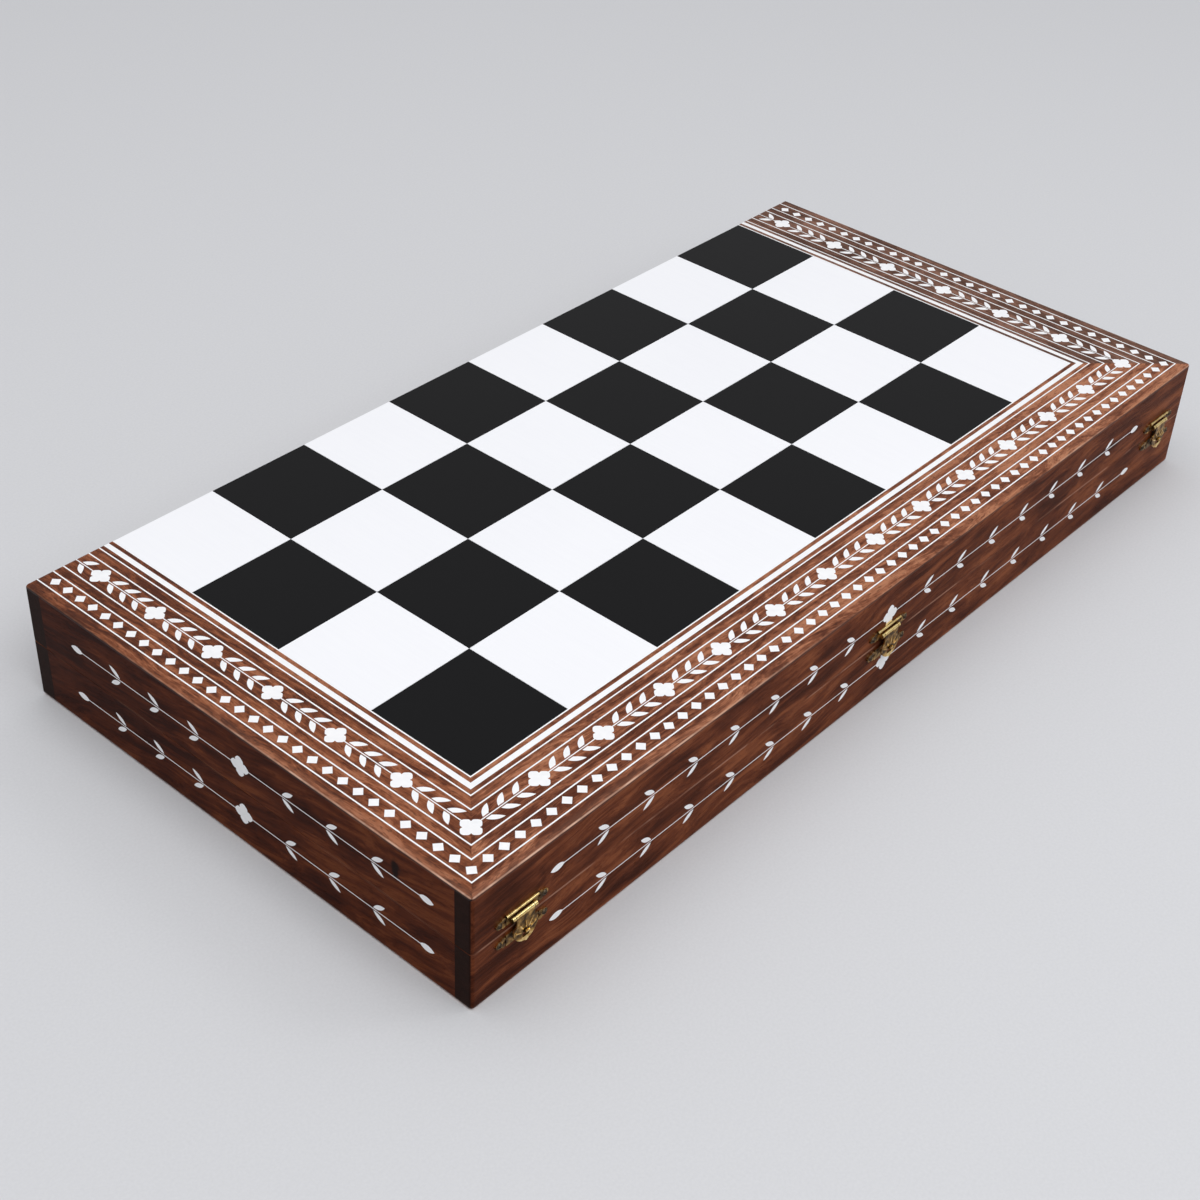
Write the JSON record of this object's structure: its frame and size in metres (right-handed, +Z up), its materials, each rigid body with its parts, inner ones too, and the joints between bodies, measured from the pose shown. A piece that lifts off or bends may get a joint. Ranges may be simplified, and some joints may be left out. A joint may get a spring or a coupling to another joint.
{
  "type": "folding chess box",
  "caption": "Rectangular wooden box of two hinged trays, a chequered half board with an inlaid border on each outer face, closed by brass hasps along the front.",
  "frame": {"origin": "on the resting face, under the middle of the two closed trays' woodwork", "axes": "+Z up, +X to the right along the latched front, +Y from the latched front to the hinged fold edge"},
  "size_m": [0.483, 0.246, 0.054],
  "materials": {
    "border_rosewood": "satin oiled",
    "side_rosewood": "satin oiled",
    "panel_wood": "sanded",
    "dark_square": "black satin lacquer",
    "light_square": "white satin lacquer",
    "inlay": "smooth, flush",
    "felt": "felt",
    "brass": "polished",
    "dark_steel": "blackened"
  },
  "bodies": {
    "base": {"base_front_rail": "side_rosewood", "base_back_rail": "side_rosewood", "base_left_end_rail": "side_rosewood", "base_right_end_rail": "side_rosewood", "base_panel": "panel_wood", "base_border_front": "border_rosewood", "base_border_left": "border_rosewood", "base_border_right": "border_rosewood", "base_dark_squares": "dark_square", "base_light_squares": "light_square", "base_lines": "inlay", "base_band": "inlay", "base_diamonds": "inlay", "base_flowers": "inlay", "base_vine": "inlay", "base_wall_vines": "inlay", "base_lining": "felt", "base_hinge_screws": "brass", "base_latch_screws": "dark_steel", "hinge_left_base_leaf": "brass", "hinge_centre_base_leaf": "brass", "hinge_right_base_leaf": "brass", "hinge_left_pin": "dark_steel", "hinge_centre_pin": "dark_steel", "hinge_right_pin": "dark_steel", "latch_left_lower_plate": "brass", "latch_centre_lower_plate": "brass", "latch_right_lower_plate": "brass"},
    "lid": {"lid_front_rail": "side_rosewood", "lid_back_rail": "side_rosewood", "lid_left_end_rail": "side_rosewood", "lid_right_end_rail": "side_rosewood", "lid_panel": "panel_wood", "lid_border_front": "border_rosewood", "lid_border_left": "border_rosewood", "lid_border_right": "border_rosewood", "lid_dark_squares": "dark_square", "lid_light_squares": "light_square", "lid_lines": "inlay", "lid_band": "inlay", "lid_diamonds": "inlay", "lid_flowers": "inlay", "lid_vine": "inlay", "lid_wall_vines": "inlay", "lid_lining": "felt", "lid_hinge_screws": "brass", "lid_latch_screws": "dark_steel", "hinge_left_lid_leaf": "brass", "hinge_centre_lid_leaf": "brass", "hinge_right_lid_leaf": "brass", "latch_left_upper_plate": "brass", "latch_centre_upper_plate": "brass", "latch_right_upper_plate": "brass", "latch_left_pin": "brass", "latch_centre_pin": "brass", "latch_right_pin": "brass"},
    "hasp_left": {"latch_left_hasp": "brass"},
    "hasp_centre": {"latch_centre_hasp": "brass"},
    "hasp_right": {"latch_right_hasp": "brass"}
  },
  "joints": [
    {"name": "lid_hinge", "type": "hinge", "parent": "base", "child": "lid", "pos_m": [0, 0.12025, 0.027], "axis": [-1, 0, 0], "range_deg": [0, 180]},
    {"name": "hasp_left_pivot", "type": "hinge", "parent": "lid", "child": "hasp_left", "pos_m": [-0.218, -0.12135, 0.0317], "axis": [-1, 0, 0], "range_deg": [0, 130]},
    {"name": "hasp_centre_pivot", "type": "hinge", "parent": "lid", "child": "hasp_centre", "pos_m": [-0.0035, -0.12135, 0.0317], "axis": [-1, 0, 0], "range_deg": [0, 130]},
    {"name": "hasp_right_pivot", "type": "hinge", "parent": "lid", "child": "hasp_right", "pos_m": [0.218, -0.12135, 0.0317], "axis": [-1, 0, 0], "range_deg": [0, 130]}
  ]
}
